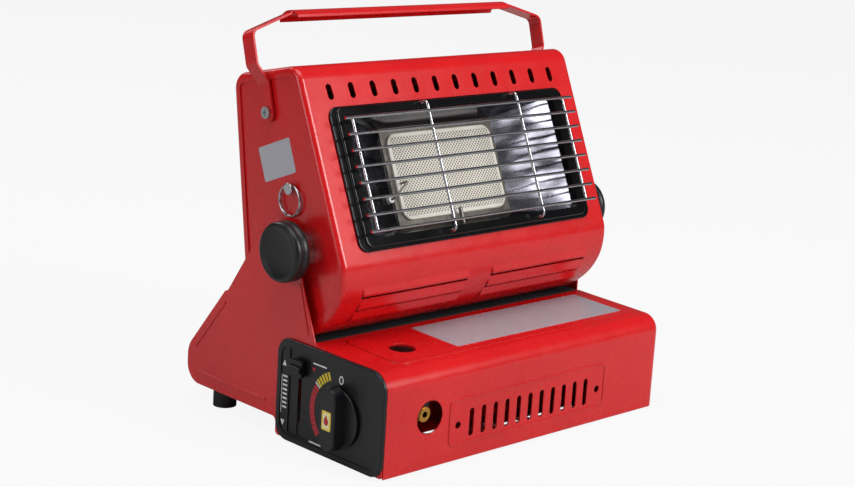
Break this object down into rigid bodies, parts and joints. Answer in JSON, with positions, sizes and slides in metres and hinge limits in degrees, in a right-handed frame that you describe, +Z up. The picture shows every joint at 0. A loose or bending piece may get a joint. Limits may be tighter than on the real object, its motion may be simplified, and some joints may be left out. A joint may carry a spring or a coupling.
{
  "type": "portable gas heater",
  "caption": "Portable radiant gas heater: box base with a can bay and lift-up door, tilting head with ceramic burner and wire guard, carrying handle.",
  "frame": {"origin": "bottom centre of the heater, on the floor it stands on", "axes": "+X to the right end seen from the front, +Y to the rear, +Z up; the front faces -Y"},
  "size_m": [0.318, 0.217, 0.2955],
  "materials": {
    "red_enamel": "gloss stoved enamel",
    "black_enamel": "gloss stoved enamel",
    "heatproof_paint": "matt black heat-proof",
    "black_plastic": "moulded, low sheen",
    "yellow_plastic": "moulded inlay",
    "cast_zinc": "die-cast, satin",
    "zinc_plated_steel": "bright zinc plate",
    "brass": "turned",
    "gas_pipe_metal": "drawn tube",
    "lead_sleeve": "smooth silicone sleeve",
    "rubber": "moulded, matt",
    "silver_foil": "bare foil sticker",
    "chrome_wire": "bright drawn wire",
    "polished_steel": "bright rolled stainless steel",
    "ceramic": "pierced, matt",
    "gasket_fibre": "pressed fibre",
    "burner_steel": "aluminised steel",
    "porcelain": "glazed",
    "probe_steel": "heat-resisting wire"
  },
  "bodies": {
    "base": {"bay_tray": "red_enamel", "left_side_plate": "red_enamel", "right_side_plate": "red_enamel", "rear_sheet": "red_enamel", "heat_deck": "heatproof_paint", "control_panel": "black_plastic", "regulator": "cast_zinc", "regulator_bracket": "zinc_plated_steel", "cartridge_socket": "cast_zinc", "gas_inlet": "brass", "cartridge_cradle": "zinc_plated_steel", "piezo_igniter": "black_plastic", "ignition_lead": "lead_sleeve", "gas_pipe": "gas_pipe_metal", "rubber_feet": "rubber", "hinge_brackets": "zinc_plated_steel", "hinge_pins": "zinc_plated_steel"},
    "can_door": {"can_door": "red_enamel", "hinge_leaves": "zinc_plated_steel", "door_label": "silver_foil"},
    "control_knob": {"control_knob": "black_plastic", "knob_shaft": "zinc_plated_steel", "knob_badge": "yellow_plastic"},
    "gas_lever": {"gas_lever": "black_plastic"},
    "head": {"head_wrap": "red_enamel", "head_side_left": "red_enamel", "head_side_right": "red_enamel", "head_rear_cover": "black_enamel", "cover_screws": "zinc_plated_steel", "window_frame": "black_enamel", "wire_guard": "chrome_wire", "reflector": "polished_steel", "plaque": "ceramic", "plaque_frame": "polished_steel", "plaque_gasket": "gasket_fibre", "burner_box": "burner_steel", "mixing_tube": "burner_steel", "swivel_union": "brass", "head_gas_pipe": "gas_pipe_metal", "injector": "brass", "lead_connector": "brass", "head_lead": "lead_sleeve", "electrode_insulator": "porcelain", "spark_electrode": "probe_steel", "thermocouple": "probe_steel", "weld_nuts": "zinc_plated_steel", "friction_washers": "zinc_plated_steel", "handle_screws": "zinc_plated_steel", "ring_rivet": "zinc_plated_steel", "side_label": "silver_foil"},
    "pull_ring": {"pull_ring": "chrome_wire"},
    "carry_handle": {"carry_handle": "red_enamel"},
    "left_angle_knob": {"left_angle_knob": "black_plastic", "left_clamp_bolt": "zinc_plated_steel"},
    "right_angle_knob": {"right_angle_knob": "black_plastic", "right_clamp_bolt": "zinc_plated_steel"}
  },
  "joints": [
    {"name": "head_tilt", "type": "hinge", "parent": "base", "child": "head", "pos_m": [0, -0.0095, 0.139], "axis": [1, 0, 0], "range_deg": [-22, 20]},
    {"name": "handle_swing", "type": "hinge", "parent": "head", "child": "carry_handle", "pos_m": [0, 0.033, 0.2273], "axis": [1, 0, 0], "range_deg": [-90, 90]},
    {"name": "can_door_lift", "type": "hinge", "parent": "base", "child": "can_door", "pos_m": [0, -0.03, 0.0724], "axis": [-1, 0, 0], "range_deg": [0, 48]},
    {"name": "control_knob_turn", "type": "hinge", "parent": "base", "child": "control_knob", "pos_m": [-0.15, -0.064, 0.034], "axis": [1, 0, 0], "range_deg": [0, 120]},
    {"name": "gas_lever_slide", "type": "slide", "parent": "base", "child": "gas_lever", "axis": [0, 0, 1], "range_m": [-0.036, 0]},
    {"name": "left_knob_turn", "type": "hinge", "parent": "base", "child": "left_angle_knob", "pos_m": [-0.15, -0.0095, 0.139], "axis": [1, 0, 0], "range_deg": [-180, 180]},
    {"name": "right_knob_turn", "type": "hinge", "parent": "base", "child": "right_angle_knob", "pos_m": [0.15, -0.0095, 0.139], "axis": [1, 0, 0], "range_deg": [-180, 180]},
    {"name": "ring_swing", "type": "hinge", "parent": "head", "child": "pull_ring", "pos_m": [-0.1373, 0.0055, 0.1786], "axis": [1, 0, 0], "range_deg": [-180, 180]}
  ]
}
